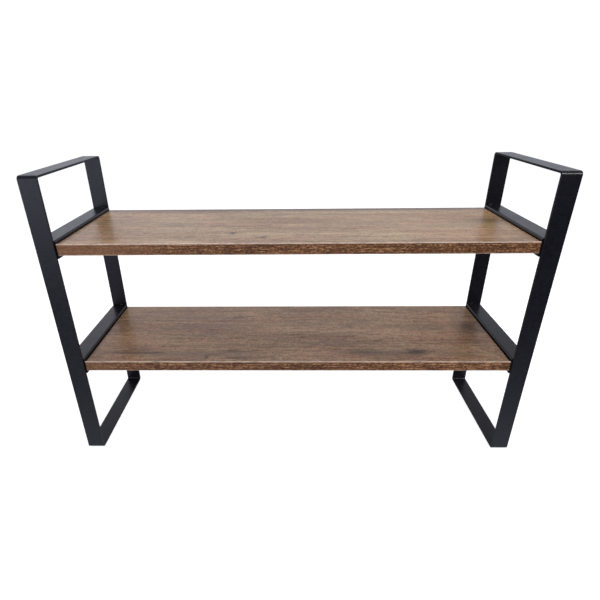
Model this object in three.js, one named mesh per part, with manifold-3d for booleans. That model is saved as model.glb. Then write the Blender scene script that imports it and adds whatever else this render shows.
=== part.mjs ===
// Two-tier desk hutch: two flat-bar side loops, welded angle crossbars, and two edge-banded boards.
// Millimetres. +X is to the right, +Y to the back, +Z up. Origin: centre of the footprint, on the desk.
import * as THREE from 'three';
import Module from 'manifold-3d';
import { mergeVertices } from 'three/addons/utils/BufferGeometryUtils.js';

// Driving dimensions
const WIDTH = 680;             // over the outer edges of the two loops
const DEPTH = 190;             // over the front and back posts
const LOOP_HEIGHT = 435;       // from the underside of the bottom bar to the top of the top bar
const STRAP_WIDTH = 25;        // flat bar, measured along X
const STRAP_THICKNESS = 3;
const BEND_RADIUS = 5;         // outside radius of the loop's four bends
const STRAP_EDGE = 0.4;        // softened long edges of the bar
const CROSSBAR_TOPS = { lower: 170, upper: 352 };   // above the underside of the loop
const ANGLE_LEG = 25;
const ANGLE_THICKNESS = 3;
const ANGLE_HEEL_RADIUS = 2;
const ANGLE_ROOT_RADIUS = 2.5;
const ANGLE_TOE_RADIUS = 1;
const ANGLE_INSET = 1.5;       // the angle stands this far inboard of the posts, so the board clears them
const BOARD_THICKNESS = 16;
const BOARD_DEPTH = 184;
const BAND_THICKNESS = 1;
const BAND_EDGE_RADIUS = 0.7;
const FOOT_THICKNESS = 1.2;
const FOOT_RADIUS = 8;
const FOOT_FROM_END = 25;      // pad centre from the front or back of the loop
const SCREW_FROM_CENTRE = 60;  // the two screws at each board end, along Y
const SCREW_RADIUS = 2.5;      // M5
const SCREW_LENGTH = 16;
const SCREW_CHAMFER = 0.6;
const HOLE_CLEARANCE = 0.4;    // on the radius, round the screw in the crossbar
const HEAD_RADIUS = 4.75;
const HEAD_HEIGHT = 2.7;
const HEAD_RIM = 0.35;         // upright rim below the head's dome
const HEAD_FLAT = 0.42;        // share of the head's radius that stays flat on top
const SOCKET_FLATS = 3;        // hexagon socket, across flats
const SOCKET_DEPTH = 1.6;
const INSERT_RADIUS = 4;
const INSERT_ROOT_RADIUS = 3.45;
const INSERT_LENGTH = 13;
const INSERT_RIDGES = 3;
const INSERT_COLLAR = 2;       // plain length at the mouth
const POCKET_SPARE = 1;        // the pocket runs this much deeper than the insert
const GAP = 0.3;               // clearance between touching pieces

const SIDES = { left: -1, right: 1 };
const ENDS = { front: -1, back: 1 };

// Heights and X positions that follow from the driving dimensions
const loopBottom = FOOT_THICKNESS + GAP;
const angleInner = WIDTH / 2 - STRAP_WIDTH - ANGLE_INSET;   // inner face of the upright leg
const boardHalf = angleInner - GAP;                         // half the board's length
const boardBelowCrossbar = (ANGLE_LEG - BOARD_THICKNESS) / 2;
const seatOf = (tier) => loopBottom + CROSSBAR_TOPS[tier];
const boardMiddle = (tier) => seatOf(tier) - boardBelowCrossbar - BOARD_THICKNESS / 2;

// Materials
const finish = (color, roughness, metalness) => () => (
  new THREE.MeshStandardMaterial({ color, roughness, metalness }));
const blackPowder = finish(0x26272c, 0.45, 0.1);
const woodFace = finish(0x8c6c52, 0.55, 0);
const woodBand = finish(0x6b4a36, 0.6, 0);
const blackZinc = finish(0x1d1d20, 0.35, 0.8);
const zinc = finish(0xb4b0a4, 0.35, 0.9);
const rubber = finish(0x1a1a1b, 0.85, 0);

// Booleans
const wasm = await Module();
wasm.setup();

function toSolid(geometry) {
  const bare = geometry.clone();
  bare.deleteAttribute('normal');
  bare.deleteAttribute('uv');
  const merged = mergeVertices(bare, 1e-4);
  const mesh = new wasm.Mesh({
    numProp: 3,
    vertProperties: new Float32Array(merged.attributes.position.array),
    triVerts: new Uint32Array(merged.index.array),
  });
  return new wasm.Manifold(mesh);
}

function toGeometry(solid) {
  const mesh = solid.getMesh();
  const geometry = new THREE.BufferGeometry();
  geometry.setAttribute('position', new THREE.BufferAttribute(mesh.vertProperties, 3));
  geometry.setIndex(new THREE.BufferAttribute(mesh.triVerts, 1));
  geometry.computeVertexNormals();
  return geometry;
}

function cut(geometry, tools) {
  const solid = tools.reduce((left, tool) => left.subtract(toSolid(tool)), toSolid(geometry));
  return toGeometry(solid);
}

// Axis changes for extrusions: the drawing's x and y become the named axes
const ontoYZ = (geometry) => geometry.applyMatrix4(new THREE.Matrix4().makeBasis(
  new THREE.Vector3(0, 1, 0), new THREE.Vector3(0, 0, 1), new THREE.Vector3(1, 0, 0)));
const ontoXZ = (geometry) => geometry.applyMatrix4(new THREE.Matrix4().makeBasis(
  new THREE.Vector3(1, 0, 0), new THREE.Vector3(0, 0, 1), new THREE.Vector3(0, -1, 0)));

function roundedRectangle(width, height, radius, outline = new THREE.Shape()) {
  const x = width / 2 - radius;
  const y = height / 2 - radius;
  const quarter = Math.PI / 2;
  outline.absarc(x, -y, radius, -quarter, 0);
  outline.absarc(x, y, radius, 0, quarter);
  outline.absarc(-x, y, radius, quarter, 2 * quarter);
  outline.absarc(-x, -y, radius, 2 * quarter, 3 * quarter);
  outline.closePath();
  return outline;
}

// Side loop: the bar's thickness lies in the YZ drawing, and its width is the extrusion along X
function loopGeometry() {
  const outline = roundedRectangle(DEPTH, LOOP_HEIGHT, BEND_RADIUS);
  const inner = BEND_RADIUS - STRAP_THICKNESS;
  outline.holes.push(roundedRectangle(DEPTH - 2 * STRAP_THICKNESS, LOOP_HEIGHT - 2 * STRAP_THICKNESS,
    inner, new THREE.Path()));
  const geometry = new THREE.ExtrudeGeometry(outline, {
    depth: STRAP_WIDTH - 2 * STRAP_EDGE,
    curveSegments: 7,
    bevelEnabled: true,
    bevelThickness: STRAP_EDGE,
    bevelSize: STRAP_EDGE,
    bevelOffset: -STRAP_EDGE,
    bevelSegments: 1,
  });
  geometry.translate(0, 0, -(STRAP_WIDTH / 2 - STRAP_EDGE));
  return ontoYZ(geometry);
}

// Crossbar section, with its inner face on x = 0 and its top on y = 0; side turns the top leg outward
function angleSection(side) {
  const quarter = Math.PI / 2;
  const steps = 5;
  const points = [];
  const corner = (x, y, radius, from, to) => {
    for (let i = 0; i <= steps; i += 1) {
      const a = from + (to - from) * i / steps;
      points.push(new THREE.Vector2(side * (x + radius * Math.cos(a)), y + radius * Math.sin(a)));
    }
  };
  const heel = ANGLE_HEEL_RADIUS;
  const toe = ANGLE_TOE_RADIUS;
  const root = ANGLE_THICKNESS + ANGLE_ROOT_RADIUS;
  corner(heel, -heel, heel, quarter, 2 * quarter);
  points.push(new THREE.Vector2(0, -ANGLE_LEG));
  corner(ANGLE_THICKNESS - toe, -ANGLE_LEG + toe, toe, -quarter, 0);
  corner(root, -root, ANGLE_ROOT_RADIUS, 2 * quarter, quarter);
  corner(ANGLE_LEG - toe, -ANGLE_THICKNESS + toe, toe, -quarter, 0);
  points.push(new THREE.Vector2(side * ANGLE_LEG, 0));
  return new THREE.Shape(points);
}

function rodAlongX(radius, length) {
  return new THREE.CylinderGeometry(radius, radius, length, 20).rotateZ(Math.PI / 2);
}

function crossbarGeometry(side) {
  const length = DEPTH - 2 * STRAP_THICKNESS - 2 * GAP;
  const bar = ontoXZ(new THREE.ExtrudeGeometry(angleSection(side), { depth: length, bevelEnabled: false })
    .translate(0, 0, -length / 2));
  const holes = Object.values(ENDS).map((end) => rodAlongX(SCREW_RADIUS + HOLE_CLEARANCE, 4 * ANGLE_THICKNESS)
    .translate(0, end * SCREW_FROM_CENTRE, -ANGLE_LEG / 2));
  return cut(bar, holes);
}

// Board core: the middle of the board, with a blind pocket for each insert
function coreGeometry() {
  const band = BAND_THICKNESS + GAP;
  const box = new THREE.BoxGeometry(2 * (boardHalf - band), BOARD_DEPTH - 2 * band, BOARD_THICKNESS);
  const reach = INSERT_LENGTH + POCKET_SPARE;
  const pockets = [];
  for (const side of Object.values(SIDES)) {
    for (const end of Object.values(ENDS)) {
      pockets.push(rodAlongX(INSERT_RADIUS + GAP, 2 * reach)
        .translate(side * boardHalf, end * SCREW_FROM_CENTRE, 0));
    }
  }
  return cut(box, pockets);
}

// Front and back bands: a strip with two softened outer edges, end: -1 faces the front
function longBandGeometry(end) {
  const half = BOARD_THICKNESS / 2;
  const r = BAND_EDGE_RADIUS;
  const quarter = Math.PI / 2;
  const shape = new THREE.Shape();
  shape.moveTo(0, -half);
  shape.absarc(BAND_THICKNESS - r, -half + r, r, -quarter, 0);
  shape.absarc(BAND_THICKNESS - r, half - r, r, 0, quarter);
  shape.lineTo(0, half);
  shape.closePath();
  const length = 2 * boardHalf;
  const strip = new THREE.ExtrudeGeometry(shape, { depth: length, curveSegments: 4, bevelEnabled: false });
  strip.translate(0, 0, -length / 2);
  const turned = ontoYZ(strip);
  return end > 0 ? turned : turned.rotateZ(Math.PI);
}

// End bands: plain strips behind the crossbars, pierced for the inserts
function endBandGeometry() {
  const depth = BOARD_DEPTH - 2 * (BAND_THICKNESS + GAP);
  const strip = new THREE.BoxGeometry(BAND_THICKNESS, depth, BOARD_THICKNESS);
  return cut(strip, Object.values(ENDS).map((end) => rodAlongX(INSERT_RADIUS + GAP, 4 * BAND_THICKNESS)
    .translate(0, end * SCREW_FROM_CENTRE, 0)));
}

// Screw, drawn upright with the underside of its head on z = 0, then laid along X with its head outward
function screwGeometry(side) {
  const at = (r, z) => new THREE.Vector2(r, z);
  const profile = [at(0, -SCREW_LENGTH), at(SCREW_RADIUS - SCREW_CHAMFER, -SCREW_LENGTH),
    at(SCREW_RADIUS, -SCREW_LENGTH + SCREW_CHAMFER), at(SCREW_RADIUS, 0), at(HEAD_RADIUS, 0)];
  const domeSteps = 4;
  for (let i = 0; i <= domeSteps; i += 1) {
    const a = (Math.PI / 2) * (i / domeSteps);
    const r = HEAD_RADIUS * (HEAD_FLAT + (1 - HEAD_FLAT) * Math.cos(a));
    profile.push(at(r, HEAD_RIM + (HEAD_HEIGHT - HEAD_RIM) * Math.sin(a)));
  }
  profile.push(at(0, HEAD_HEIGHT));
  const body = new THREE.LatheGeometry(profile, 20).rotateX(Math.PI / 2);
  const corner = SOCKET_FLATS / Math.sqrt(3);
  const socket = new THREE.CylinderGeometry(corner, corner, 2 * SOCKET_DEPTH, 6)
    .rotateX(Math.PI / 2).translate(0, 0, HEAD_HEIGHT);
  return cut(body, [socket]).rotateY(side * Math.PI / 2);
}

// Insert: a ridged sleeve with a plain bore, its mouth on z = 0, then laid along X with its mouth outward
function insertGeometry(side) {
  const at = (r, z) => new THREE.Vector2(r, z);
  const bore = SCREW_RADIUS + GAP;
  const nose = 1;                       // plain length at the inner end
  const pitch = (INSERT_LENGTH - INSERT_COLLAR - nose) / INSERT_RIDGES;
  const profile = [at(bore, -INSERT_LENGTH), at(INSERT_ROOT_RADIUS, -INSERT_LENGTH)];
  for (let i = 0; i < INSERT_RIDGES; i += 1) {
    const start = -INSERT_LENGTH + nose + i * pitch;
    profile.push(at(INSERT_ROOT_RADIUS, start), at(INSERT_RADIUS, start + pitch * 0.65));
  }
  profile.push(at(INSERT_ROOT_RADIUS, -INSERT_COLLAR), at(INSERT_RADIUS, 0.4 - INSERT_COLLAR));
  profile.push(at(INSERT_RADIUS, 0), at(bore, 0), at(bore, -INSERT_LENGTH));
  return new THREE.LatheGeometry(profile, 16).rotateX(Math.PI / 2).rotateY(side * Math.PI / 2);
}

function footGeometry() {
  return new THREE.CylinderGeometry(FOOT_RADIUS, FOOT_RADIUS, FOOT_THICKNESS, 28).rotateX(Math.PI / 2);
}

// Assembly
const hutch = new THREE.Group();

function place(parent, name, geometry, material, x, y, z) {
  const mesh = new THREE.Mesh(geometry, material());
  mesh.name = name;
  mesh.position.set(x, y, z);
  parent.add(mesh);
}

for (const [sideName, side] of Object.entries(SIDES)) {
  const frame = new THREE.Group();
  const strapX = side * (WIDTH - STRAP_WIDTH) / 2;
  place(frame, `side_loop_${sideName}`, loopGeometry(), blackPowder, strapX, 0, loopBottom + LOOP_HEIGHT / 2);
  for (const tier of Object.keys(CROSSBAR_TOPS)) {
    place(frame, `crossbar_${tier}_${sideName}`, crossbarGeometry(side), blackPowder,
      side * angleInner, 0, seatOf(tier));
    for (const [endName, end] of Object.entries(ENDS)) {
      place(frame, `screw_${tier}_${sideName}_${endName}`, screwGeometry(side), blackZinc,
        side * (angleInner + ANGLE_THICKNESS + GAP), end * SCREW_FROM_CENTRE, boardMiddle(tier));
    }
  }
  for (const [endName, end] of Object.entries(ENDS)) {
    place(frame, `foot_pad_${sideName}_${endName}`, footGeometry(), rubber,
      strapX, end * (DEPTH / 2 - FOOT_FROM_END), FOOT_THICKNESS / 2);
  }
  hutch.add(frame);
}

for (const tier of Object.keys(CROSSBAR_TOPS)) {
  const shelf = new THREE.Group();
  shelf.position.z = boardMiddle(tier);
  place(shelf, `board_core_${tier}`, coreGeometry(), woodFace, 0, 0, 0);
  for (const [endName, end] of Object.entries(ENDS)) {
    place(shelf, `edge_band_${tier}_${endName}`, longBandGeometry(end), woodBand,
      0, end * (BOARD_DEPTH / 2 - BAND_THICKNESS), 0);
  }
  for (const [sideName, side] of Object.entries(SIDES)) {
    place(shelf, `edge_band_${tier}_${sideName}`, endBandGeometry(), woodBand,
      side * (boardHalf - BAND_THICKNESS / 2), 0, 0);
    for (const [endName, end] of Object.entries(ENDS)) {
      place(shelf, `insert_${tier}_${sideName}_${endName}`, insertGeometry(side), zinc,
        side * (boardHalf - GAP), end * SCREW_FROM_CENTRE, 0);
    }
  }
  hutch.add(shelf);
}

export default hutch;
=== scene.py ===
"""Looks of the desk hutch: bent flat-bar loops, welded angle crossbars and two edge-banded boards.

Metres, +X to the right, +Y to the back, +Z up, standing on Z = 0. Small parts are given in
millimetres and multiplied by MM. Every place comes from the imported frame.
"""

import math

import bmesh
import bpy
from mathutils import Matrix, Vector


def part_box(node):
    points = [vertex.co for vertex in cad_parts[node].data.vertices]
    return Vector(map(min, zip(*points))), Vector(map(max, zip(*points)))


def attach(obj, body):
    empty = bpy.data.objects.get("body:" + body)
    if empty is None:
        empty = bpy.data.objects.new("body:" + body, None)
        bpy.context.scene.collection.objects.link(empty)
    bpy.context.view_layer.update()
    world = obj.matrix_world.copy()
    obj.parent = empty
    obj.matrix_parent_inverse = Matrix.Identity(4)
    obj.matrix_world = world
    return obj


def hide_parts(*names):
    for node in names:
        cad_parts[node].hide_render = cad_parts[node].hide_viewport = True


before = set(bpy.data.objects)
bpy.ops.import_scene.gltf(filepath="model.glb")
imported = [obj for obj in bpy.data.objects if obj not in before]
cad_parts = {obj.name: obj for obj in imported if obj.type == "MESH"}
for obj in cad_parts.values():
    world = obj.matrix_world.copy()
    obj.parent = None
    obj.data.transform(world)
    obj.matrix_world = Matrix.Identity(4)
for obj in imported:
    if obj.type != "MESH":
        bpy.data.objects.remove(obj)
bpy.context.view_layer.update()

MM = 0.001
SIDES = {"left": -1, "right": 1}
ENDS = {"front": -1, "back": 1}
TIERS = ("lower", "upper")
UP = Vector((0, 0, 1))

# Flat bar and angle
STRAP_THICKNESS = 3 * MM
STRAP_EDGE = 0.4 * MM          # rounding of the coated bar's long edges
BEND_RADIUS = 5 * MM           # outside radius of the loop's bends
BEND_STEPS = 12
ANGLE_THICKNESS = 3 * MM
HEEL_RADIUS = 2.2 * MM
HEEL_WEAR_AND_HIGHLIGHT = 0.3                # the rounded heel is worn less than the sharper edges; its pale wear also paints the heel's highlight line
TIP_RADIUS = 0.4 * MM          # outside edges of the angle's two legs
ROOT_RADIUS = 2.5 * MM
ROOT_STEPS = 16                # of the bead that follows the root
TOE_RADIUS = 1.2 * MM
HOLE_RADIUS = 2.9 * MM         # clearance holes for the board screws
HOLE_SEGMENTS = 32

# Weld beads at the crossbar's ends
BEAD_LEG = 2.6 * MM
BEAD_PITCH = 1.5 * MM          # from one ripple to the next
BEAD_RIPPLE = 0.085            # height of a ripple, as a share of the leg
BEAD_LAG = 0.45                # how far a ripple's middle trails its ends, in legs
BEAD_TAPER = 1.4               # length of the bead's rounded ends, in legs
BEAD_STUB = 0.12               # size of the very end, as a share of the leg
BEAD_HOLLOW = 1.1              # 1 is a round face, and more is flatter
BEAD_SINK = 0.2 * MM           # the bead's hidden corner lies this far inside the steel
BEAD_STEPS = 10                # across its face
BEAD_SPACING = 0.25 * MM       # between rings along it
TACK_LEG = 3.0 * MM
TACK_LENGTH = 8 * MM
TACK_PLACE = 0.36              # share of the crossbar's width, from its inner edge
TOE_MARGIN = 1.6 * MM          # the bead stops this far from the angle's toes

# Screws
SCREW_RADIUS = 2.5 * MM
THREAD_PITCH = 0.8 * MM
THREAD_DEPTH = 0.45 * MM
THREAD_STEPS = 4               # rings in one pitch
SCREW_SEGMENTS = 36
HEAD_RADIUS = 4.75 * MM
HEAD_HEIGHT = 2.7 * MM
HEAD_RIM = 0.35 * MM
HEAD_FLAT = 0.42               # share of the head's radius that stays flat on top
HEAD_STEPS = 8
SOCKET_APOTHEM = 1.5 * MM
SOCKET_DEPTH = 1.6 * MM
SOCKET_CHAMFER = 0.12 * MM
SOCKET_CHAMFER_DEPTH = 0.15 * MM
DRILL_RADIUS = 1.25 * MM       # the drilled point under the socket
DRILL_TIP_RADIUS = 0.2 * MM
DRILL_POINT = 0.35 * MM
SEAT_ROUNDING = 0.1 * MM
SHANK_LENGTH = 0.4 * MM        # plain part under the head
THREAD_START = 0.8 * MM
THREAD_STOP = 0.6 * MM         # before the tip
TIP_LENGTH = 0.2 * MM
SCREW_TIP_RADIUS = 1.4 * MM

# Edge banding and feet
BAND_THICKNESS = 1.28 * MM
BAND_ROUNDING = 0.7 * MM
SIDE_BAND_ROUNDING = 1.2 * MM  # leaves the groove along the crossbars, painted dark as shade
TRIM_AND_HIGHLIGHT_FADE = 1.10 * MM          # the pale trimmed edge, partly a painted highlight, ends this far onto the band's face
TRIM_AND_HIGHLIGHT_BELOW = 0.4               # edge value of the pale trim and painted highlight along the band's lower edge
TRIM_AND_HIGHLIGHT_INSIDE = 0.8              # edge value of the pale trim and painted highlight where the band meets the top laminate
GROOVE_SHADE_VALUE = -1.0            # edge value where the groove beside the crossbar is painted dark as shade
INSERT_HOLE = 4.3 * MM
FOOT_ROUNDING = 0.45 * MM
DISH_DEPTH = 0.25 * MM
DISH_FLAT = 0.55               # share of the foot's radius where the dish stops being flat
DISH_RIM = 0.62                # share of the foot's radius where the dish ends
FOOT_CENTRE = 1 * MM           # innermost ring of the foot's faces
FOOT_SEGMENTS = 48
CONTACT_GAP = 0.3 * MM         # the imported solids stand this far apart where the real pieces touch

# Camera: beside the middle of the hutch, above its top, looking down on it
CAMERA_PLACE = (-0.0041, -0.6261, 0.5226)
CAMERA_PITCH = math.radians(25.52)
CAMERA_YAW = math.radians(1.287)
CAMERA_ROLL = math.radians(-0.715)
CAMERA_LENS = 25.9             # millimetres, as the sensor's width is
CAMERA_SENSOR = 36.0
CAMERA_SHIFT_X = 0.0263
CAMERA_CLIP = 0.01             # nearest that the camera sees

# Studio light by direction, whose parts run from -1 to 1. Behind and in front, the left and right each have
# their strengths by height, and the left passes into the right over the turn.
SKY = {
    "back": {
        "tint": (1.0, 1.01, 1.14),
        "turn": (0.0, 0.40),
        "left": [
            (-1, 0.40), (-0.30, 0.12), (-0.05, 0.15), (0.03, 0.46), (0.23, 0.74), (0.44, 1.06), (0.60, 0.40),
            (0.8, 0.28), (1, 0.25),
        ],
        "right": [
            (-1, 0.40), (-0.30, 0.28), (-0.05, 0.32), (0.03, 0.56), (0.23, 0.62), (0.44, 0.52), (0.60, 0.34),
            (0.8, 0.28), (1, 0.25),
        ],
    },
    "front": {
        "tint": (1.0, 1.0, 1.25),
        "turn": (-0.45, 0.40),
        "left": [
            (-1, 0.70), (-0.70, 0.72), (-0.62, 0.48), (-0.50, 0.17), (-0.38, 0.20), (-0.26, 0.46),
            (-0.14, 1.48), (0.00, 1.48), (0.25, 0.80), (0.60, 0.28), (1, 0.25),
        ],
        "right": [
            (-1, 0.70), (-0.70, 0.75), (-0.60, 0.50), (-0.50, 0.13), (-0.38, 0.02), (-0.20, 0.03),
            (-0.05, 0.20), (0.30, 0.25), (0.70, 0.25), (1, 0.25),
        ],
    },
}
SKY_FRONT_TO_BACK = (-0.30, 0.25)

# The sky's strength by distance to either side: where a change starts and ends, and its strengths there
SKY_NEAR_MIDDLE = (0.05, 0.45, 0.74, 1.0)
SKY_FAR_SIDES = (0.55, 0.95, 1.0, 0.35)

# Lamps that light the matt part of the surfaces only, turned to LAMP_AIM: name, place, size and watts
LAMP_AIM = (0, 0, 0.25)
SOFT_LAMPS = [
    ("top_light", (0.10, 0.15, 1.40), (0.6, 0.9), 4.0),
    ("back_light", (0.05, 1.50, 0.85), (0.9, 0.6), 5.0),
    ("fill_light", (0.10, -1.50, 0.85), (0.9, 0.6), 6.0),
]

# The one lamp that also draws a highlight: name, place, aim, size and watts
LINE_LAMP = ("line_light", (1.11, -1.04, 1.31), (0.33, -0.09, 0.43), (0.30, 0.26), 5.0)

# Floor and dome
STAGE_RADIUS = 6.0
FLOOR_GREY = (0.6, 0.6, 0.6, 1)
FLOOR_GLOW = 0.84
DOME_GLOW = 1.05
WHITE = (1, 1, 1, 1)

# Powder coat, plating and rubber, from dark to light
COAT_DARK = (0.0040, 0.0041, 0.0062)
COAT_LIGHT = (0.0082, 0.0084, 0.0118)
# worn coat on the edges, which on the crossbar's heel also stands in for a painted highlight
COAT_WEAR_AND_HIGHLIGHT = (0.045, 0.046, 0.052, 1)
BLACK_ZINC = [(0.030, 0.030, 0.033), (0.085, 0.085, 0.090)]
YELLOW_ZINC = [(0.48, 0.44, 0.34), (0.68, 0.63, 0.50)]
RUBBER_BLACK = [(0.012, 0.012, 0.012), (0.040, 0.039, 0.038)]

# Printed wood: colours of the two grounds, from dark to light
TAN_DARK = (0.290, 0.196, 0.118)
TAN_MIDDLE = (0.455, 0.318, 0.196)
TAN_LIGHT = (0.620, 0.445, 0.285)
BROWN_DARK = (0.250, 0.148, 0.088)
BROWN_MIDDLE = (0.415, 0.258, 0.158)
BROWN_LIGHT = (0.575, 0.375, 0.238)
END_TINT = (1.0, 0.935, 0.84, 1)         # the boards turn warmer towards their ends
PORE_BROWN = (0.110, 0.062, 0.038, 1)
# greyer patches of the print, also used for the painted contact shade along the boards' left ends
VEIL_AND_SHADE_GREY = (0.150, 0.118, 0.090, 1)
SPECK_BROWN = (0.090, 0.055, 0.036, 1)
KNOT_BROWN = (0.060, 0.040, 0.030, 1)
# the band's cut edge, paler than its face and partly a painted highlight
TRIM_AND_HIGHLIGHT_PALE = (0.90, 0.72, 0.55, 1)
# near black painted into the groove beside the crossbar as its shade
GROOVE_SHADE_BLACK = (0.006, 0.005, 0.005, 1)

# Printed edge band: the flecked part, and the plain part at the left
FLECKED = [
    (0.41, (0.040, 0.016, 0.005)),
    (0.46, (0.108, 0.045, 0.015)),
    (0.52, (0.210, 0.092, 0.033)),
    (0.58, (0.520, 0.275, 0.125)),
]
CALM = [(0.40, (0.168, 0.076, 0.031)), (0.60, (0.330, 0.164, 0.073))]

# Each board's print. Seed picks its field, softness widens its range of tones, and pores, smudges and specks
# are shares. Calm_band is where its edge band turns from plain to flecked, in mm from the board's centre.
# Marks are knots. Veils are greyer patches, and along each board's left end a painted contact shade beside
# the
# crossbar: each is its place from the board's centre, half length and half width, in mm, and its depth of
# colour.
BOARD_LOOKS = {
    "upper": {
        "seed": 11,
        "tint": (1.05, 1.04, 0.95, 1),
        "softness": 0.098,
        "pores": 0.35,
        "smudges": 0.22,
        "specks": 0.30,
        "calm_band": (-260, -130),
        "marks": [
            (-269, -15, 14, 11, 0.22),
            (-87, -46, 5, 7, 0.90),
            (-44, -66, 6, 6, 0.80),
            (-290, 10, 24, 24, 0.15),
            (292, 4, 30, 28, 0.45),
            (285, -84, 34, 8, 0.20),
            (0, 88, 420, 16, 0.25),
        ],
        "veils_and_shade": [
            (0, 90, 700, 16, 0.95),
            # painted contact shade along the left end, beside the crossbar
            (-313, 0, 8, 900, 0.40),
            (-60, 78, 110, 7, 0.40),
            (-179, -3, 34, 12, 0.40),
            (-60, -84, 60, 5, 0.35),
            (95, -8, 60, 8, 0.25),
            (225, -10, 45, 10, 0.25),
        ],
    },
    "lower": {
        "seed": 31,
        "tint": (0.96, 0.87, 0.80, 1),
        "softness": 0.074,
        "pores": 0.45,
        "smudges": 0.38,
        "specks": 0.55,
        "calm_band": (-330, -200),
        "marks": [
            (-101, 47, 16, 6, 0.60),
            (-248, -68, 60, 4.5, 0.60),
            (-134, -80, 4, 6, 0.80),
            (-85, -82, 34, 4.5, 0.60),
            (-97, -64, 24, 5, 0.45),
            (89, 16, 14, 8, 0.45),
            (100, -64, 34, 8, 0.50),
            (184, -65, 20, 12, 0.90),
            (287, 8, 26, 30, 0.65),
            (-292, 22, 24, 16, 0.25),
            (250, -72, 44, 10, 0.35),
        ],
        "veils_and_shade": [
            # painted contact shade along the left end, beside the crossbar
            (-313, 0, 8, 900, 0.40),
            (-150, 18, 70, 9, 0.50),
            (-180, 80, 40, 7, 0.30),
            (-150, -72, 110, 9, 0.60),
            (60, -42, 60, 9, 0.30),
            (20, 20, 120, 9, 0.30),
            (140, -68, 90, 10, 0.60),
            (190, 16, 70, 10, 0.40),
            (-170, 50, 110, 16, 0.40),
            # these two darken the lower board towards its ends
            (-330, 30, 60, 60, 0.30),
            (330, 40, 60, 90, 0.75),
            (-235, 66, 60, 24, 0.35),
            (230, 80, 90, 15, 0.50),
        ],
    },
}


# ---------------------------------------------------------------- node graphs

class Graph:
    """A node tree being written. A socket given as a value is linked, and anything else is set."""

    def __init__(self, tree):
        self.tree = tree
        tree.nodes.clear()

    def add(self, kind, inputs=(), **settings):
        node = self.tree.nodes.new(kind)
        for key, value in settings.items():
            setattr(node, key, value)
        for key, value in dict(inputs).items():
            if isinstance(value, bpy.types.NodeSocket):
                self.tree.links.new(value, node.inputs[key])
            else:
                node.inputs[key].default_value = value
        return node

    def maths(self, operation, *values):
        return self.add("ShaderNodeMath", enumerate(values), operation=operation).outputs[0]

    def ranged(self, value, low, high, start=0.0, end=1.0):
        """start below low, end above high, and a smooth step between."""
        inputs = {"Value": value, "From Min": low, "From Max": high, "To Min": start, "To Max": end}
        return self.add("ShaderNodeMapRange", inputs, interpolation_type="SMOOTHSTEP").outputs[0]

    def weighted(self, *pairs):
        """The sum of value times weight over the pairs."""
        total = self.maths("MULTIPLY", *pairs[0])
        for value, weight in pairs[1:]:
            total = self.maths("MULTIPLY_ADD", value, weight, total)
        return total

    def mixed(self, share, first, second, blend="MIX"):
        inputs = {0: share, 6: first, 7: second}
        return self.add("ShaderNodeMix", inputs, data_type="RGBA", blend_type=blend).outputs[2]

    def ramp(self, value, stops):
        node = self.add("ShaderNodeValToRGB", {"Fac": value})
        elements = node.color_ramp.elements
        while len(elements) < len(stops):
            elements.new(1.0)
        for element, (position, colour) in zip(elements, stops):
            element.position = position
            element.color = (*colour, 1)
        return node.outputs["Color"]

    def place(self, scale, offset=(0, 0, 0)):
        """The surface point in the part's own frame, times scale, plus offset."""
        point = self.add("ShaderNodeTexCoord").outputs["Object"]
        return self.add("ShaderNodeMapping", {"Vector": point, "Scale": scale, "Location": offset}).outputs[0]

    def noise(self, size, seed, detail=2.0, roughness=0.5):
        """Noise with marks of about this size along X, Y and Z, in metres. Seed picks another field."""
        inputs = {
            "Vector": self.place([1 / s for s in size], (seed * 7.31, seed * 3.17, seed * 5.73)),
            "Scale": 1.0,
            "Detail": detail,
            "Roughness": roughness,
        }
        return self.add("ShaderNodeTexNoise", inputs).outputs[0]

    def attribute(self, name):
        return self.add("ShaderNodeAttribute", attribute_name=name).outputs["Fac"]

    def bump(self, height, distance, strength=1.0):
        inputs = {"Height": height, "Distance": distance, "Strength": strength}
        return self.add("ShaderNodeBump", inputs).outputs[0]

    def along(self):
        """Distance along X from the part's origin."""
        return self.add("ShaderNodeSeparateXYZ", {"Vector": self.place((1, 1, 1))}).outputs["X"]

    def surface(self, inputs):
        shader = self.add("ShaderNodeBsdfPrincipled", inputs)
        self.add("ShaderNodeOutputMaterial", {"Surface": shader.outputs[0]})


def new_material(name):
    material = bpy.data.materials.new(name)
    material.use_nodes = True
    return material, Graph(material.node_tree)


# ---------------------------------------------------------------- materials

def powder_coat():
    """Satin black powder: fine orange peel, slightly mottled gloss, thinner and paler on the edges.

    On the crossbar's heel the paler edge also paints its highlight line.
    """
    material, g = new_material("powder_coat")
    peel = g.noise((1.7 * MM,) * 3, 1, detail=2)
    grit = g.noise((0.45 * MM,) * 3, 2, detail=1)
    mottle = g.noise((5.5 * MM,) * 3, 4, detail=2)
    drift = g.noise((38 * MM, 38 * MM, 60 * MM), 3, detail=3)
    edge = g.attribute("edge")
    tone = g.weighted((peel, 0.25), (grit, 0.15), (mottle, 0.35), (drift, 0.25))
    colour = g.ramp(tone, [(0.35, COAT_DARK), (0.65, COAT_LIGHT)])
    # Paler worn edges; along the crossbar's heel this is partly a painted highlight line.
    wear_and_highlight = g.maths("MULTIPLY", edge, g.ranged(drift, 0.42, 0.66, 0.05, 0.55))
    shine = g.weighted((peel, 0.08), (mottle, 0.16), (drift, 0.12), (edge, -0.04))
    relief = g.weighted((peel, 0.75), (grit, 0.25))
    g.surface({
        "Base Color": g.mixed(wear_and_highlight, colour, COAT_WEAR_AND_HIGHLIGHT),
        "Roughness": g.maths("ADD", shine, 0.11),
        "IOR": 1.5,
        "Normal": g.bump(relief, 0.06 * MM),
    })
    return material


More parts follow.
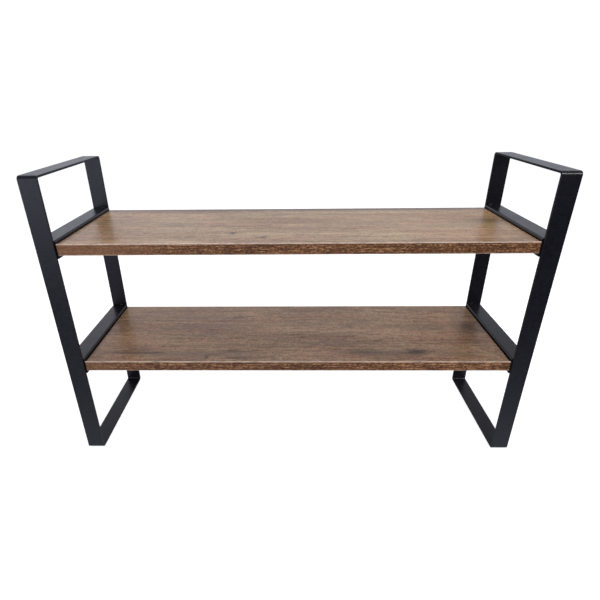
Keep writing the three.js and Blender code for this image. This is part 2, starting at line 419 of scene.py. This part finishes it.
def marks(g, places):
    """How deep in a knot, smudge or painted shade a point is. Places are (x, y, half length, half width,
    depth) in mm.
    """
    ragged = g.noise((14 * MM, 4 * MM, 4 * MM), 9, detail=4, roughness=0.7)
    total = None
    for x, y, half_length, half_width, depth in places:
        scale = (1 / (half_length * MM), 1 / (half_width * MM), 0)
        offset = (-x / half_length, -y / half_width, 0)
        point = g.add("ShaderNodeVectorMath", {0: g.place(scale, offset)}, operation="LENGTH")
        reach = g.maths("MULTIPLY_ADD", ragged, 1.6, point.outputs["Value"])
        here = g.ranged(reach, 2.2, 0.9, 0.0, depth)
        total = here if total is None else g.maths("MAXIMUM", total, here)
    return total


def laminate(tier):
    """Rustic wood print: tan and brown bands, broken streaks, grey veils, pores and a few small knots, and a
    painted contact shade along the left end.
    """
    material, g = new_material(f"laminate_{tier}")
    look = BOARD_LOOKS[tier]
    seed = look["seed"]
    clouds = g.noise((200 * MM, 40 * MM, 40 * MM), seed, detail=3)
    bands = g.noise((260 * MM, 15 * MM, 15 * MM), seed + 1, detail=3)
    streaks = g.noise((48 * MM, 6 * MM, 6 * MM), seed + 2, detail=5, roughness=0.65)
    fibres = g.noise((11 * MM, 4.5 * MM, 4.5 * MM), seed + 3, detail=4, roughness=0.7)
    hairs = g.noise((9 * MM, 0.5 * MM, 0.5 * MM), seed + 9, detail=3, roughness=0.7)
    pores = g.noise((8 * MM, 1.6 * MM, 1.6 * MM), seed + 4, detail=3, roughness=0.6)
    smoke = g.noise((75 * MM, 20 * MM, 20 * MM), seed + 5, detail=4, roughness=0.6)
    flecks = g.noise((9 * MM, 4 * MM, 4 * MM), seed + 6, detail=3)
    speckle = g.noise((2.6 * MM, 3.8 * MM, 3.8 * MM), seed + 8, detail=2, roughness=0.6)
    warmth = g.noise((150 * MM, 24 * MM, 24 * MM), seed + 7, detail=3)

    tone = g.weighted(
        (clouds, 0.16), (bands, 0.22), (streaks, 0.30), (fibres, 0.34), (speckle, 0.32), (hairs, 0.14),
    )
    centre = 0.74              # half of the weights' sum
    stops = (centre - look["softness"], centre, centre + look["softness"])
    tan = g.ramp(tone, list(zip(stops, (TAN_DARK, TAN_MIDDLE, TAN_LIGHT))))
    brown = g.ramp(tone, list(zip(stops, (BROWN_DARK, BROWN_MIDDLE, BROWN_LIGHT))))
    wood = g.mixed(g.ranged(warmth, 0.40, 0.62), tan, brown)
    wood = g.mixed(1.0, wood, look["tint"], "MULTIPLY")
    ends = g.ranged(g.maths("ABSOLUTE", g.along()), 120 * MM, 290 * MM)
    wood = g.mixed(ends, wood, END_TINT, "MULTIPLY")
    pore = g.ranged(pores, 0.54, 0.68)
    wood = g.mixed(g.maths("MULTIPLY", pore, look["pores"]), wood, PORE_BROWN)
    # Veils and smudges of the print, with the painted contact shade along the left end.
    veil_and_shade = g.maths("MULTIPLY", g.ranged(smoke, 0.50, 0.72), look["smudges"])
    veil_and_shade = g.maths("MAXIMUM", veil_and_shade, marks(g, look["veils_and_shade"]))
    wood = g.mixed(veil_and_shade, wood, VEIL_AND_SHADE_GREY)
    speck = g.ranged(flecks, 0.66, 0.74)
    wood = g.mixed(g.maths("MULTIPLY", speck, look["specks"]), wood, SPECK_BROWN)
    wood = g.mixed(marks(g, look["marks"]), wood, KNOT_BROWN)

    relief = g.weighted((streaks, 0.4), (hairs, 0.4), (pore, -0.4), (bands, 0.2))
    g.surface({
        "Base Color": wood,
        "Roughness": g.weighted((streaks, 0.14), (pore, 0.08), (smoke, 0.10), (1.0, 0.17)),
        "IOR": 1.46,
        "Normal": g.bump(relief, 0.05 * MM),
    })
    return material


def banding(tier):
    """Printed edge band: darker and redder than the faces, broken flecks, a pale trimmed edge that is partly
    a painted highlight, and the groove beside the crossbar painted dark as shade.
    """
    material, g = new_material(f"banding_{tier}")
    seed = BOARD_LOOKS[tier]["seed"] + 24
    lines = g.noise((70 * MM, 1.8 * MM, 1.8 * MM), seed, detail=3)
    streaks = g.noise((13 * MM, 1.7 * MM, 1.7 * MM), seed + 1, detail=4, roughness=0.65)
    flecks = g.noise((3.2 * MM, 1.8 * MM, 1.8 * MM), seed + 2, detail=2, roughness=0.6)
    clouds = g.noise((150 * MM, 60 * MM, 60 * MM), seed + 3, detail=2)
    tone = g.weighted((lines, 0.22), (streaks, 0.33), (flecks, 0.35), (clouds, 0.10))
    along = g.along()
    calm_start, calm_end = BOARD_LOOKS[tier]["calm_band"]
    calmed = g.ranged(along, calm_start * MM, calm_end * MM, 0.8, 0.0)
    wood = g.mixed(calmed, g.ramp(tone, FLECKED), g.ramp(tone, CALM))
    # Pale trim with a painted highlight on the band's rounded edges, fading towards the right.
    chipped = g.ranged(streaks, 0.36, 0.58, 0.55, 1.0)
    trim_and_highlight_falloff = g.ranged(along, -150 * MM, 100 * MM, 1.0, 0.85)
    edge = g.attribute("edge")
    trim_and_highlight = g.maths("MULTIPLY", g.maths("MULTIPLY", g.maths("MAXIMUM", edge, 0.0), chipped), trim_and_highlight_falloff)
    wood = g.mixed(trim_and_highlight, wood, TRIM_AND_HIGHLIGHT_PALE)
    # Painted shade: the end band's top edge in the groove beside the crossbar turns near black.
    groove_shade = g.ranged(edge, -0.1, -0.9, 0.0, 0.95)
    g.surface({
        "Base Color": g.mixed(groove_shade, wood, GROOVE_SHADE_BLACK),
        "Roughness": g.weighted((streaks, 0.16), (flecks, 0.12), (groove_shade, 0.50), (1.0, 0.36)),
        "IOR": 1.42,
        "Normal": g.bump(g.weighted((streaks, 0.6), (flecks, 0.4)), 0.05 * MM),
    })
    return material


def metal(name, tones, roughness):
    """Plated steel: cloudy plating over fine turning marks."""
    material, g = new_material(name)
    cloudy = g.noise((2.2 * MM,) * 3, 5, detail=3)
    scratches = g.noise((4 * MM, 0.25 * MM, 0.25 * MM), 6, detail=2)
    tone = g.weighted((cloudy, 0.6), (scratches, 0.4))
    g.surface({
        "Base Color": g.ramp(tone, list(zip((0.35, 0.65), tones))),
        "Metallic": 1.0,
        "Roughness": g.weighted((cloudy, 0.2), (scratches, 0.1), (1.0, roughness)),
        "Normal": g.bump(scratches, 0.01 * MM),
    })
    return material


def rubber():
    """Matt black rubber with a dusty bloom and a fine moulded texture."""
    material, g = new_material("pad_rubber")
    bloom = g.noise((3 * MM,) * 3, 7, detail=4)
    texture = g.noise((0.4 * MM,) * 3, 8, detail=1)
    g.surface({
        "Base Color": g.ramp(bloom, list(zip((0.40, 0.70), RUBBER_BLACK))),
        "Roughness": g.weighted((bloom, 0.2), (1.0, 0.70)),
        "IOR": 1.45,
        "Normal": g.bump(texture, 0.05 * MM),
    })
    return material


# ---------------------------------------------------------------- mesh helpers

def face_outward(mesh):
    """Turns every face of a closed mesh outward."""
    fix = bmesh.new()
    fix.from_mesh(mesh)
    bmesh.ops.recalc_face_normals(fix, faces=fix.faces)
    fix.to_mesh(mesh)
    fix.free()


def add_piece(mesh, material, replaced=(), sharp=40.0):
    """The mesh as a piece of the object: shaded, finished, riding on the frame."""
    face_outward(mesh)
    mesh.shade_smooth()
    mesh.set_sharp_from_angle(angle=math.radians(sharp))
    piece = bpy.data.objects.new(mesh.name, mesh)
    bpy.context.scene.collection.objects.link(piece)
    mesh.materials.append(material)
    weighted = piece.modifiers.new("weighted_normals", "WEIGHTED_NORMAL")
    weighted.keep_sharp = True
    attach(piece, "root")
    if replaced:
        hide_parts(*replaced)


def skin(name, rings, edges=None, closed=False):
    """A mesh through rings of points, capped unless closed.

    Edges holds the edge value of each point of a ring, which the materials read: 1 on an outside edge that
    wears or shows the trim, partly a painted highlight, 0 on a face, and below 0 in a groove painted as
    shade.
    """
    count = len(rings[0])
    faces = []
    for i in range(len(rings) if closed else len(rings) - 1):
        near, far = i * count, (i + 1) % len(rings) * count
        for j in range(count):
            k = (j + 1) % count
            faces.append((near + j, near + k, far + k, far + j))
    if not closed:
        last = (len(rings) - 1) * count
        faces += [tuple(range(count)), tuple(range(last, last + count))]
    mesh = bpy.data.meshes.new(name)
    mesh.from_pydata([p for ring in rings for p in ring], [], faces)
    if edges:
        values = mesh.attributes.new("edge", "FLOAT", "POINT")
        values.data.foreach_set("value", list(edges) * len(rings))
    return mesh


def arc(centre, radius, start, end, steps):
    """Points of an arc, angles in degrees, each with its edge value: 0 at the ends, 1 in the middle."""
    points = []
    for i in range(steps + 1):
        angle = math.radians(start + (end - start) * i / steps)
        point = (centre[0] + radius * math.cos(angle), centre[1] + radius * math.sin(angle))
        points.append((point, math.sin(math.pi * i / steps)))
    return points


def pierced(mesh, cutters):
    """The mesh with each cutter mesh taken out of it."""
    body = bpy.data.objects.new("blank", mesh)
    bpy.context.scene.collection.objects.link(body)
    tools = []
    for cutter in cutters:
        tool = bpy.data.objects.new("cutter", cutter)
        bpy.context.scene.collection.objects.link(tool)
        cut = body.modifiers.new("cut", "BOOLEAN")
        cut.object = tool
        cut.operation = "DIFFERENCE"
        cut.solver = "EXACT"
        tools.append(tool)
    shaped = body.evaluated_get(bpy.context.evaluated_depsgraph_get())
    result = bpy.data.meshes.new_from_object(shaped)
    name = mesh.name
    for item in [body, *tools]:
        bpy.data.objects.remove(item)
    bpy.data.meshes.remove(mesh)
    result.name = name
    return result


def rod(centre, radius, half_length):
    """A plain round cutter along X."""
    rings = []
    for x in (centre.x - half_length, centre.x + half_length):
        ring = []
        for i in range(HOLE_SEGMENTS):
            angle = math.tau * i / HOLE_SEGMENTS
            ring.append((x, centre.y + radius * math.cos(angle), centre.z + radius * math.sin(angle)))
        rings.append(ring)
    mesh = skin("rod", rings)
    face_outward(mesh)
    return mesh


def middle(box):
    """Centre of a box given by its two corners."""
    return (box[0] + box[1]) / 2


# ---------------------------------------------------------------- steel

def bar_section(width):
    """Outline of the flat bar: (along its width, depth under its outer face), with edge values."""
    across = width / 2 - STRAP_EDGE
    deep = STRAP_THICKNESS - STRAP_EDGE
    outline = arc((across, STRAP_EDGE), STRAP_EDGE, -90, 0, 4)
    outline += arc((across, deep), STRAP_EDGE, 0, 90, 4)
    outline += arc((-across, deep), STRAP_EDGE, 90, 180, 4)
    outline += arc((-across, STRAP_EDGE), STRAP_EDGE, 180, 270, 4)
    return outline


def bent_loop(side, material):
    """Flat bar bent round four tight bends into a closed rectangle."""
    node = f"side_loop_{side}"
    low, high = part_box(node)
    x = (low.x + high.x) / 2
    outline = bar_section(high.x - low.x)
    rings = []
    near, far = low.y + BEND_RADIUS, high.y - BEND_RADIUS
    bottom, top = low.z + BEND_RADIUS, high.z - BEND_RADIUS
    for y, z, start in ((far, bottom, -90), (far, top, 0), (near, top, 90), (near, bottom, 180)):
        for i in range(BEND_STEPS + 1):
            angle = math.radians(start + 90 * i / BEND_STEPS)
            ring = []
            for (u, depth), _ in outline:
                radius = BEND_RADIUS - depth
                ring.append((x + u, y + radius * math.cos(angle), z + radius * math.sin(angle)))
            rings.append(ring)
    mesh = skin(f"bent_loop_{side}", rings, [e for _, e in outline], closed=True)
    add_piece(mesh, material, [node])


def angle_outline(side, inner, top, leg):
    """The crossbar's section as (x, z) with edge values: heel at the board's end, top leg outward."""
    root = ANGLE_THICKNESS + ROOT_RADIUS
    heel = arc((HEEL_RADIUS, -HEEL_RADIUS), HEEL_RADIUS, 90, 180, 12)
    # The heel's pale wear, strongest mid-arc, also paints the highlight line along its rounding.
    drawn = [(point, HEEL_WEAR_AND_HIGHLIGHT * edge) for point, edge in heel]
    drawn += arc((TIP_RADIUS, -leg + TIP_RADIUS), TIP_RADIUS, 180, 270, 3)
    drawn += arc((ANGLE_THICKNESS - TOE_RADIUS, -leg + TOE_RADIUS), TOE_RADIUS, -90, 0, 5)
    drawn += [(point, 0.0) for point, _ in arc((root, -root), ROOT_RADIUS, 180, 90, 7)]
    drawn += arc((leg - TOE_RADIUS, -ANGLE_THICKNESS + TOE_RADIUS), TOE_RADIUS, -90, 0, 5)
    drawn += arc((leg - TIP_RADIUS, -TIP_RADIUS), TIP_RADIUS, 0, 90, 3)
    return [((inner + side * x, top + z), edge) for (x, z), edge in drawn]


def angle_bar(tier, side, material):
    """Rolled angle with rounded heel, root and toes, pierced for the two board screws."""
    node = f"crossbar_{tier}_{side}"
    low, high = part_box(node)
    inner = low.x if SIDES[side] > 0 else high.x
    outline = angle_outline(SIDES[side], inner, high.z, high.z - low.z)
    rings = [[(x, y, z) for (x, z), _ in outline] for y in (low.y, high.y)]
    mesh = skin(f"angle_bar_{tier}_{side}", rings, [e for _, e in outline])
    face_outward(mesh)
    holes = []
    for end in ENDS:
        hole = middle(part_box(f"screw_{tier}_{side}_{end}"))
        hole.x = inner
        holes.append(rod(hole, HOLE_RADIUS, 2 * ANGLE_THICKNESS))
    add_piece(pierced(mesh, holes), material, [node])


def weld_bead(name, path, leg, inward, material):
    """A rippled fillet bead. Path is (corner point, direction on the post), inward runs along the bar."""
    lengths = [0.0]
    for (here, _), (there, _) in zip(path, path[1:]):
        lengths.append(lengths[-1] + (there - here).length)
    whole = lengths[-1]
    rings = []
    for (corner, out), along in zip(path, lengths):
        from_end = min(along, whole - along)
        fall = max(0.0, 1 - from_end / (BEAD_TAPER * leg))
        size = leg * max(BEAD_STUB, math.sqrt(1 - fall * fall))
        ring = [corner - BEAD_SINK * out + BEAD_SINK * inward]
        for i in range(BEAD_STEPS + 1):
            turn = math.pi / 2 * i / BEAD_STEPS
            phase = along - BEAD_LAG * leg * math.sin(2 * turn)
            ripple = 1 + BEAD_RIPPLE * abs(math.sin(math.pi * phase / BEAD_PITCH)) * math.sin(2 * turn)
            reach = size * ripple
            rise = reach * math.cos(turn) ** BEAD_HOLLOW
            run = reach * math.sin(turn) ** BEAD_HOLLOW + CONTACT_GAP * math.sin(turn)
            ring.append(corner + out * rise + inward * run)
        rings.append([tuple(p) for p in ring])
    mesh = skin(name, rings, [0.0] * len(rings[0]))
    add_piece(mesh, material, sharp=70.0)


def straight(start, end, out):
    """Corner points from start to end, each with the same direction on the post."""
    count = max(1, round((end - start).length / BEAD_SPACING))
    return [(start.lerp(end, i / count), out) for i in range(count + 1)]


def welds(tier, side, end, material):
    """The bead inside the angle, along both legs, and the short tack on top of the crossbar."""
    low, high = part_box(f"crossbar_{tier}_{side}")
    sign = SIDES[side]
    inner = low.x if sign > 0 else high.x
    outer = high.x if sign > 0 else low.x
    face = ENDS[end] * (high.y + CONTACT_GAP)
    inward = Vector((0, -ENDS[end], 0))
    outward = Vector((sign, 0, 0))

    under = high.z - ANGLE_THICKNESS
    web = inner + sign * ANGLE_THICKNESS
    centre = Vector((web + sign * ROOT_RADIUS, face, under - ROOT_RADIUS))
    toe = Vector((outer - sign * TOE_MARGIN, face, under))
    path = straight(toe, Vector((centre.x, face, under)), -UP)
    for i in range(1, ROOT_STEPS):
        angle = math.radians(90 + 90 * i / ROOT_STEPS)
        out = -(outward * math.cos(angle) + UP * math.sin(angle))
        path.append((centre - out * ROOT_RADIUS, out))
    toe = Vector((web, face, low.z + TOE_MARGIN))
    path += straight(Vector((web, face, centre.z)), toe, outward)
    weld_bead(f"weld_{tier}_{side}_{end}", path, BEAD_LEG, inward, material)

    tack = Vector((inner + (outer - inner) * TACK_PLACE, face, high.z))
    half = Vector((TACK_LENGTH / 2, 0, 0))
    path = straight(tack - half, tack + half, UP)
    weld_bead(f"tack_{tier}_{side}_{end}", path, TACK_LEG, inward, material)


# ---------------------------------------------------------------- boards

def front_band(tier, end, material):
    """Edge band glued along the board, its two outer edges trimmed round."""
    node = f"edge_band_{tier}_{end}"
    low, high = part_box(node)
    sign = ENDS[end]
    outer = high.y if sign > 0 else low.y
    r = BAND_ROUNDING
    half = (high.z - low.z) / 2
    level = (high.z + low.z) / 2
    drawn = [((0.0, -half), TRIM_AND_HIGHLIGHT_BELOW)]
    drawn += [(p, TRIM_AND_HIGHLIGHT_BELOW) for p, _ in arc((BAND_THICKNESS - r, r - half), r, -90, 0, 6)]
    drawn += [((BAND_THICKNESS, r - half + TRIM_AND_HIGHLIGHT_FADE), 0.0), ((BAND_THICKNESS, half - r - TRIM_AND_HIGHLIGHT_FADE), 0.0)]
    drawn += [(p, 1.0) for p, _ in arc((BAND_THICKNESS - r, half - r), r, 0, 90, 6)]
    drawn += [((0.0, half), TRIM_AND_HIGHLIGHT_INSIDE)]
    root = outer - sign * BAND_THICKNESS
    rings = [[(x, root + sign * y, level + z) for (y, z), _ in drawn] for x in (low.x, high.x)]
    mesh = skin(f"banding_{tier}_{end}", rings, [e for _, e in drawn])
    add_piece(mesh, material, [node])


def side_band(tier, side, material):
    """Edge band on the board's end, behind the crossbar, pierced for the two inserts."""
    node = f"edge_band_{tier}_{side}"
    low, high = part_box(node)
    sign = SIDES[side]
    outer = high.x if sign > 0 else low.x
    inner = outer - sign * BAND_THICKNESS
    r = SIDE_BAND_ROUNDING
    drawn = [((inner, low.z), 0.0)]
    for (x, z), _ in arc((0, 0), r, -90, 0, 6):
        drawn.append(((outer + sign * (x - r), low.z + r + z), 0.0))
    drawn.append(((outer, high.z - 2 * r), 0.0))
    # Its top edge carries painted shade, near black in the groove beside the crossbar.
    for (x, z), _ in arc((0, 0), r, 0, 90, 6):
        drawn.append(((outer + sign * (x - r), high.z - r + z), GROOVE_SHADE_VALUE))
    drawn.append(((inner, high.z), GROOVE_SHADE_VALUE))
    rings = [[(x, y, z) for (x, z), _ in drawn] for y in (low.y, high.y)]
    mesh = skin(f"banding_{tier}_{side}", rings, [e for _, e in drawn])
    face_outward(mesh)
    holes = []
    for end in ENDS:
        hole = middle(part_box(f"insert_{tier}_{side}_{end}"))
        hole.x = outer
        holes.append(rod(hole, INSERT_HOLE, 3 * BAND_THICKNESS))
    add_piece(pierced(mesh, holes), material, [node])


# ---------------------------------------------------------------- fasteners and feet

def hexagon(angle):
    """Radius of the socket's hexagon at an angle."""
    sixth = math.pi / 3
    return SOCKET_APOTHEM / math.cos(angle % sixth - sixth / 2)


def plain(radius):
    """The same radius at every angle."""
    def at(angle):
        return radius
    return at


def screw_rings(length):
    """The screw from its socket's bottom to its tip, as (radius at an angle, distance below the top)."""
    corner = SOCKET_APOTHEM / math.cos(math.pi / 6)
    rings = [
        (plain(DRILL_TIP_RADIUS), SOCKET_DEPTH + DRILL_POINT),
        (plain(DRILL_RADIUS), SOCKET_DEPTH),
        (hexagon, SOCKET_DEPTH),
        (hexagon, SOCKET_CHAMFER_DEPTH),
        (plain(corner + SOCKET_CHAMFER), 0),
    ]
    for i in range(HEAD_STEPS + 1):
        turn = math.pi / 2 * i / HEAD_STEPS
        radius = HEAD_RADIUS * (HEAD_FLAT + (1 - HEAD_FLAT) * math.sin(turn))
        rings.append((plain(radius), (HEAD_HEIGHT - HEAD_RIM) * (1 - math.cos(turn))))
    seat = HEAD_HEIGHT + CONTACT_GAP
    rings += [
        (plain(HEAD_RADIUS), seat - SEAT_ROUNDING),
        (plain(HEAD_RADIUS - SEAT_ROUNDING), seat),
        (plain(SCREW_RADIUS), seat),
        (plain(SCREW_RADIUS), seat + SHANK_LENGTH),
    ]
    start = seat + THREAD_START
    count = round((length - start - THREAD_STOP) / (THREAD_PITCH / THREAD_STEPS))
    for i in range(count):
        along = start + i * THREAD_PITCH / THREAD_STEPS
        rings.append((thread(along), along))
    rings += [(plain(SCREW_RADIUS - THREAD_DEPTH), length - TIP_LENGTH), (plain(SCREW_TIP_RADIUS), length)]
    return rings


def thread(along):
    """Radius of the helical thread at an angle, this far down the screw."""
    def radius(angle):
        turn = (along / THREAD_PITCH - angle / math.tau) % 1
        return SCREW_RADIUS - THREAD_DEPTH * abs(2 * turn - 1)
    return radius


def hex_screw(tier, side, end, material):
    """Button-head screw with a hexagon socket and a helical thread."""
    node = f"screw_{tier}_{side}_{end}"
    low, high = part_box(node)
    axis = (low + high) / 2
    sign = SIDES[side]
    top = high.x if sign > 0 else low.x
    rings = []
    for radius, below in screw_rings(high.x - low.x):
        ring = []
        for i in range(SCREW_SEGMENTS):
            angle = math.tau * i / SCREW_SEGMENTS
            r = radius(angle)
            ring.append((top - sign * below, axis.y + r * math.cos(angle), axis.z + r * math.sin(angle)))
        rings.append(ring)
    mesh = skin(f"hex_screw_{tier}_{side}_{end}", rings)
    add_piece(mesh, material, [node], sharp=35.0)


def foot_disc(side, end, material):
    """Rubber disc with rounded rims and a shallow dish, stuck under the bottom bar."""
    node = f"foot_pad_{side}_{end}"
    low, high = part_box(node)
    x, y = (low.x + high.x) / 2, (low.y + high.y) / 2
    radius = (high.x - low.x) / 2
    r = FOOT_ROUNDING
    top = high.z + CONTACT_GAP
    dish = low.z + DISH_DEPTH
    profile = [(FOOT_CENTRE, dish), (radius * DISH_FLAT, dish), (radius * DISH_RIM, low.z)]
    profile += [p for p, _ in arc((radius - r, low.z + r), r, -90, 0, 6)]
    profile += [p for p, _ in arc((radius - r, top - r), r, 0, 90, 6)]
    profile += [(FOOT_CENTRE, top)]
    rings = []
    for distance, z in profile:
        ring = []
        for i in range(FOOT_SEGMENTS):
            angle = math.tau * i / FOOT_SEGMENTS
            ring.append((x + distance * math.cos(angle), y + distance * math.sin(angle), z))
        rings.append(ring)
    add_piece(skin(f"foot_disc_{side}_{end}", rings), material, [node])


def finish_node(node, material):
    """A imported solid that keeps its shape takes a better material."""
    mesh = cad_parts[node].data
    if not mesh.materials:
        mesh.materials.append(material)
    for i in range(len(mesh.materials)):
        mesh.materials[i] = material


# ---------------------------------------------------------------- camera and studio

def make_camera():
    """The photograph's view."""
    camera = bpy.data.objects.new("camera", bpy.data.cameras.new("camera"))
    bpy.context.scene.collection.objects.link(camera)
    camera.data.lens = CAMERA_LENS
    camera.data.sensor_width = CAMERA_SENSOR
    camera.data.shift_x = CAMERA_SHIFT_X
    camera.data.clip_start = CAMERA_CLIP
    look = Matrix.Rotation(CAMERA_YAW, 4, "Z") @ Matrix.Rotation(math.pi / 2 - CAMERA_PITCH, 4, "X")
    camera.matrix_world = Matrix.Translation(CAMERA_PLACE) @ look @ Matrix.Rotation(CAMERA_ROLL, 4, "Z")
    bpy.context.scene.camera = camera


def sky_colour(g, level, across, sky):
    """The sky behind or in front, with level the direction's height brought to 0..1."""
    sides = []
    for name in SIDES:
        stops = [((height + 1) / 2, [value * tint for tint in sky["tint"]]) for height, value in sky[name]]
        sides.append(g.ramp(level, stops))
    return g.mixed(g.ranged(across, *sky["turn"]), *sides)


def make_world():
    """Studio light by direction: a bright wall behind, a dim ceiling, and a front darker at the right."""
    world = bpy.data.worlds.new("studio")
    bpy.context.scene.world = world
    world.use_nodes = True
    g = Graph(world.node_tree)
    toward = g.add("ShaderNodeTexCoord").outputs["Generated"]
    axes = g.add("ShaderNodeSeparateXYZ", {"Vector": toward})
    across, back, height = axes.outputs["X"], axes.outputs["Y"], axes.outputs["Z"]
    level = g.maths("MULTIPLY_ADD", height, 0.5, 0.5)
    behind = sky_colour(g, level, across, SKY["back"])
    facing = sky_colour(g, level, across, SKY["front"])
    glow = g.mixed(g.ranged(back, *SKY_FRONT_TO_BACK), facing, behind)
    sideways = g.maths("ABSOLUTE", across)
    strength = g.maths("MULTIPLY", g.ranged(sideways, *SKY_NEAR_MIDDLE), g.ranged(sideways, *SKY_FAR_SIDES))
    background = g.add("ShaderNodeBackground", {"Color": glow, "Strength": strength})
    g.add("ShaderNodeOutputWorld", {"Surface": background.outputs[0]})


def area_lamp(name, place, aim, size, energy, glossy):
    """A rectangular soft lamp at a place, turned to its aim. One that isn't glossy draws no highlight."""
    lamp = bpy.data.lights.new(name, "AREA")
    lamp.shape = "RECTANGLE"
    lamp.size, lamp.size_y = size
    lamp.energy = energy
    softbox = bpy.data.objects.new(name, lamp)
    softbox.location = place
    softbox.rotation_euler = (Vector(aim) - Vector(place)).to_track_quat("-Z", "Y").to_euler()
    softbox.visible_camera = False
    softbox.visible_glossy = glossy
    bpy.context.scene.collection.objects.link(softbox)


def make_lamps():
    """Soft light from above, behind and in front, and a lamp that draws a line on the right loop."""
    for name, place, size, energy in SOFT_LAMPS:
        area_lamp(name, place, LAMP_AIM, size, energy, False)
    area_lamp(*LINE_LAMP, True)


def add_stage(name, bm, material):
    """A part of the stage: shown to the camera, but neither lights nor darkens the object."""
    mesh = bpy.data.meshes.new(name)
    bm.to_mesh(mesh)
    bm.free()
    mesh.materials.append(material)
    part = bpy.data.objects.new(name, mesh)
    bpy.context.scene.collection.objects.link(part)
    part.visible_diffuse = False
    part.visible_glossy = False
    part.visible_transmission = False
    part.visible_shadow = False


def make_stage():
    """A plain pale floor that takes a soft shadow, and a plain pale dome over it."""
    material, g = new_material("floor")
    g.surface({
        "Base Color": FLOOR_GREY,
        "Roughness": 1.0,
        "Specular IOR Level": 0.0,
        "Emission Color": WHITE,
        "Emission Strength": FLOOR_GLOW,
    })
    bm = bmesh.new()
    bmesh.ops.create_circle(bm, cap_ends=True, segments=96, radius=STAGE_RADIUS)
    add_stage("floor", bm, material)

    material, g = new_material("dome")
    glow = g.add("ShaderNodeEmission", {"Color": WHITE, "Strength": DOME_GLOW})
    g.add("ShaderNodeOutputMaterial", {"Surface": glow.outputs[0]})
    bm = bmesh.new()
    bmesh.ops.create_uvsphere(bm, u_segments=48, v_segments=24, radius=STAGE_RADIUS)
    add_stage("dome", bm, material)


# ---------------------------------------------------------------- assembly

make_camera()
make_world()
make_lamps()
make_stage()
bpy.context.scene.view_settings.view_transform = "Standard"

coat = powder_coat()
black_zinc = metal("black_zinc", BLACK_ZINC, 0.22)
yellow_zinc = metal("insert_zinc", YELLOW_ZINC, 0.20)
pad = rubber()

for side in SIDES:
    bent_loop(side, coat)
    for end in ENDS:
        foot_disc(side, end, pad)
    for tier in TIERS:
        angle_bar(tier, side, coat)
        for end in ENDS:
            welds(tier, side, end, coat)
            hex_screw(tier, side, end, black_zinc)
            finish_node(f"insert_{tier}_{side}_{end}", yellow_zinc)

for tier in TIERS:
    finish_node(f"board_core_{tier}", laminate(tier))
    band = banding(tier)
    for end in ENDS:
        front_band(tier, end, band)
    for side in SIDES:
        side_band(tier, side, band)
